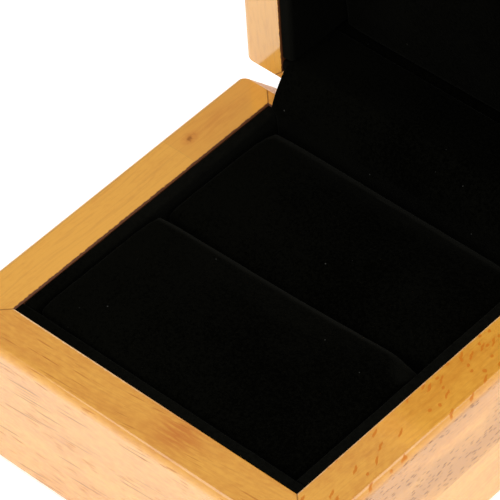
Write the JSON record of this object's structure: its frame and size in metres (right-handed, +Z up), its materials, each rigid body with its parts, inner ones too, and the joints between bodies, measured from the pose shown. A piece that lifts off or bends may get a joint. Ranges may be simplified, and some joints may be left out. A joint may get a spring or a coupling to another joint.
{
  "type": "ring box",
  "caption": "Hinged wooden ring box with mitred walls, a black velvet lining, a slit ring cushion, a padded lid and a sprung steel hinge behind a velvet strip.",
  "frame": {"origin": "middle of the base's underside, on the surface that the box stands on", "axes": "+Z up, the front of the box faces -Y, the hinge runs along X at the rear; the lid is open at rest"},
  "size_m": [0.062, 0.0779, 0.0814],
  "materials": {
    "wood": "satin lacquer",
    "velvet": "short-pile velvet",
    "card": "matt",
    "steel": "satin nickel plate"
  },
  "bodies": {
    "base": {"base_front_wall": "wood", "base_rear_wall": "wood", "base_left_wall": "wood", "base_right_upper_strip": "wood", "base_right_lower_strip": "wood", "base_bottom_panel": "wood", "base_front_liner": "velvet", "base_rear_liner": "velvet", "base_left_liner": "velvet", "base_right_liner": "velvet", "floor_card": "card", "front_ring_pad": "velvet", "rear_ring_pad": "velvet", "hinge_base_leaf": "steel", "hinge_pin": "steel", "hinge_spring": "steel", "base_hinge_screws": "steel", "hinge_cover": "velvet"},
    "lid": {"lid_front_wall": "wood", "lid_rear_wall": "wood", "lid_left_wall": "wood", "lid_right_wall": "wood", "lid_top_panel": "wood", "lid_front_liner": "velvet", "lid_rear_liner": "velvet", "lid_left_liner": "velvet", "lid_right_liner": "velvet", "lid_pad_board": "card", "lid_pad": "velvet", "hinge_lid_leaf": "steel", "lid_hinge_screws": "steel"}
  },
  "joints": [
    {"name": "lid_hinge", "type": "hinge", "parent": "base", "child": "lid", "pos_m": [0, 0.0275, 0.0229], "axis": [1, 0, 0], "range_deg": [0, 90], "deforming": ["hinge_cover", "hinge_spring"]}
  ]
}
